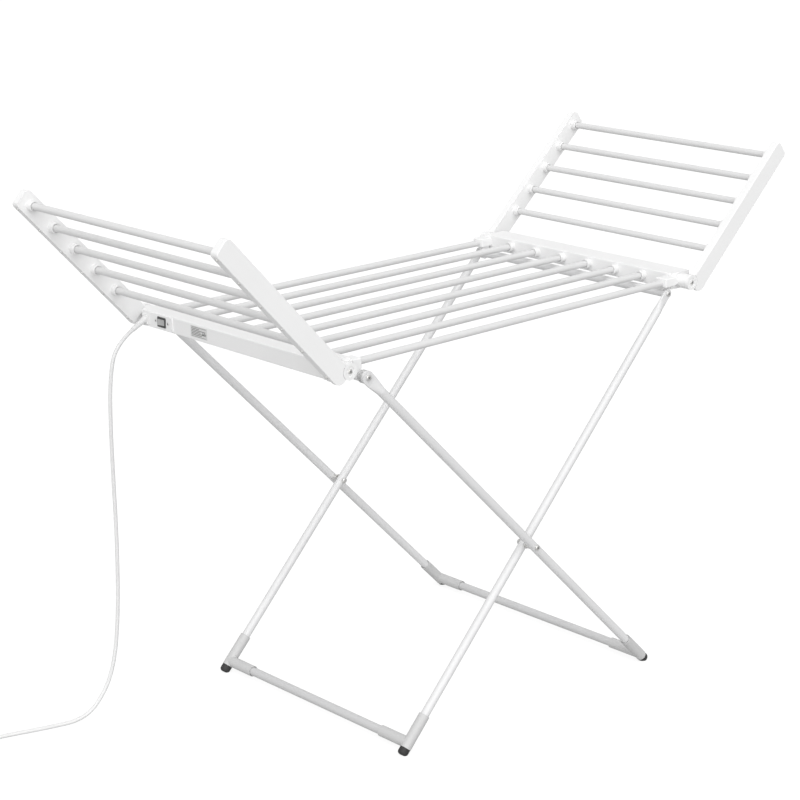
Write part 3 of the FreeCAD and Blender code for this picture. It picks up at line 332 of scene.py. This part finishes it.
def add_mesh(name, shape, body, material):
    """Turns a bmesh into a piece that rides on a body."""
    mesh = bpy.data.meshes.new(name)
    bmesh.ops.recalc_face_normals(shape, faces=shape.faces)
    shape.to_mesh(mesh)
    shape.free()
    mesh.materials.append(material)
    piece = bpy.data.objects.new(name, mesh)
    bpy.context.scene.collection.objects.link(piece)
    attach(piece, body)
    return piece


def facing(at, direction, spin=0.0):
    """A placement whose local Z looks along direction."""
    turn = Vector(direction).to_track_quat("Z", "Y").to_matrix().to_4x4()
    return Matrix.Translation(at) @ turn @ Matrix.Rotation(spin, 4, "Z")


def add_cross(shape, place, reach, width):
    """A cross-shaped tablet let into a screw's head, dark with painted shade, which reads as a
    shadowed cross recess.
    """
    r, w = reach, width / 2
    c = w * CROSS_CORNER
    ring = [(r, -w), (r, w), (c, c), (w, r), (-w, r), (-c, c),
            (-r, w), (-r, -w), (-c, -c), (-w, -r), (w, -r), (c, -c)]
    low = [shape.verts.new(place @ Vector((x, y, -CROSS_DEPTH))) for x, y in ring]
    high = [shape.verts.new(place @ Vector((x * CROSS_TAPER, y * CROSS_TAPER, 0.0)))
            for x, y in ring]
    shape.faces.new(high)
    shape.faces.new(list(reversed(low)))
    for k in range(len(ring)):
        j = (k + 1) % len(ring)
        shape.faces.new((low[k], low[j], high[j], high[k]))


def joint_place(name):
    """Where a joint's axis passes."""
    joint = next(j for j in frame["record"]["behaviour"]["joints"] if j["name"] == name)
    return Vector(joint["pos_m"])


def add_painted_recess_shade(name, body, places, reach, width):
    """One cross of painted shade for each (top of a head, the way it faces, turn about that)."""
    shape = bmesh.new()
    for at, direction, spin in places:
        top = Vector(at) + Vector(direction) * CROSS_PROUD
        add_cross(shape, facing(top, direction, spin), reach, width)
    return add_mesh(name, shape, body, RECESS_PAINTED_SHADE)


# Hinge screws, one at each end of each wing's axis: rail face, less its recess, plus the head.
HINGE_HEAD = 0.266 - 0.0013 + 0.0022
# Painted-shade crosses in the hinge screws' heads.
for side in ("left", "right"):
    hinge = joint_place("wing_%s_fold" % side)
    add_painted_recess_shade("wing_%s_screw_recess_shade" % side, "wing_" + side,
                 [((hinge.x, HINGE_HEAD, hinge.z), (0, 1, 0), 0.4),
                  ((hinge.x, -HINGE_HEAD, hinge.z), (0, -1, 0), 0.9)], 0.0022, 0.0007)

# Painted-shade crosses in the bolts at the leg tops and where the legs cross.
BOLT_CROSS = (0.0025, 0.0008)           # reach and width
fold, crossing = joint_place("leg_fold"), joint_place("leg_scissor")
CROSSING_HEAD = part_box("leg_outer_bolts")[1][1]
PIVOT_HEAD = 0.2611 + 0.002 + 0.003     # leg's middle, half its flat end, the head
inner_low, inner_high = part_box("leg_inner_bolts")
inner_top = (Vector(inner_low) + Vector(inner_high)) / 2
add_painted_recess_shade("leg_outer_bolt_recess_shade", "leg_frame_outer",
             [((crossing.x, s * CROSSING_HEAD, crossing.z), (0, s, 0), 0.3 * s) for s in (-1, 1)]
             + [((fold.x, s * PIVOT_HEAD, fold.z), (0, s, 0), 0.5) for s in (-1, 1)], *BOLT_CROSS)
add_painted_recess_shade("leg_inner_bolt_recess_shade", "leg_frame_inner",
             [((inner_top.x, s * inner_high[1], inner_top.z), (0, s, 0), 0.2) for s in (-1, 1)],
             *BOLT_CROSS)

# Painted-shade crosses in the panel screws, either side of the switch.
PANEL_SCREW_IN = 0.0026                 # from the pair's outer edge to a screw's middle
panel_low, panel_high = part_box("panel_screws")
panel_z = (panel_low[2] + panel_high[2]) / 2
add_painted_recess_shade("panel_screw_recess_shade", "deck",
             [((panel_low[0], y, panel_z), (-1, 0, 0), 0.6)
              for y in (panel_low[1] + PANEL_SCREW_IN, panel_high[1] - PANEL_SCREW_IN)],
             0.0017, 0.0007)


def add_bar(shape, low, high, edge=0.00006):
    """A thin tablet between two corners, its outer face (towards -X) a little smaller."""
    x0, y0, z0 = low
    x1, y1, z1 = high
    back = [shape.verts.new(p) for p in ((x1, y0, z0), (x1, y1, z0), (x1, y1, z1), (x1, y0, z1))]
    front = [shape.verts.new(p) for p in ((x0, y0 + edge, z0 + edge), (x0, y1 - edge, z0 + edge),
                                          (x0, y1 - edge, z1 - edge), (x0, y0 + edge, z1 - edge))]
    shape.faces.new(front)
    shape.faces.new(list(reversed(back)))
    for k in range(4):
        j = (k + 1) % 4
        shape.faces.new((back[k], back[j], front[j], front[k]))


# Rules and blocks on the label, in shares of its width and height from its low corner.
RULE_LENGTHS = (0.88, 0.62, 0.80, 0.55, 0.84, 0.48, 0.88)
RULE_END = 0.95             # all rules end here
RULE_FROM, RULE_SPAN = 0.10, 0.80
OUTER_RULE, INNER_RULE = 0.0007, 0.0011         # thickness, metres
BLOCK_COUNT = 5
PRINT_PROUD, PRINT_DEPTH = 0.00005, 0.0001      # over and under the label's face, metres


def add_label_print():
    """A blank ruled table and a plain row of blocks, with no lettering."""
    low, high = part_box("rating_label")
    front, back = low[0] - PRINT_PROUD, low[0] + PRINT_DEPTH
    wide, tall = high[1] - low[1], high[2] - low[2]
    shape = bmesh.new()
    last = len(RULE_LENGTHS) - 1
    for k, length in enumerate(RULE_LENGTHS):
        z = low[2] + tall * (RULE_FROM + RULE_SPAN * k / last)
        end = low[1] + wide * RULE_END
        thick = OUTER_RULE if k in (0, last) else INNER_RULE
        add_bar(shape, (front, end - wide * length, z - thick / 2), (back, end, z + thick / 2))
    for k in range(BLOCK_COUNT):
        y = low[1] + wide * (0.07 + 0.05 * k)
        add_bar(shape, (front, y, low[2] + tall * 0.30),
                (back, y + wide * 0.03, low[2] + tall * (0.50 + 0.05 * (k % 3))))
    add_mesh("label_rules", shape, "deck", PRINT_GREY)


add_label_print()

bpy.context.view_layer.update()
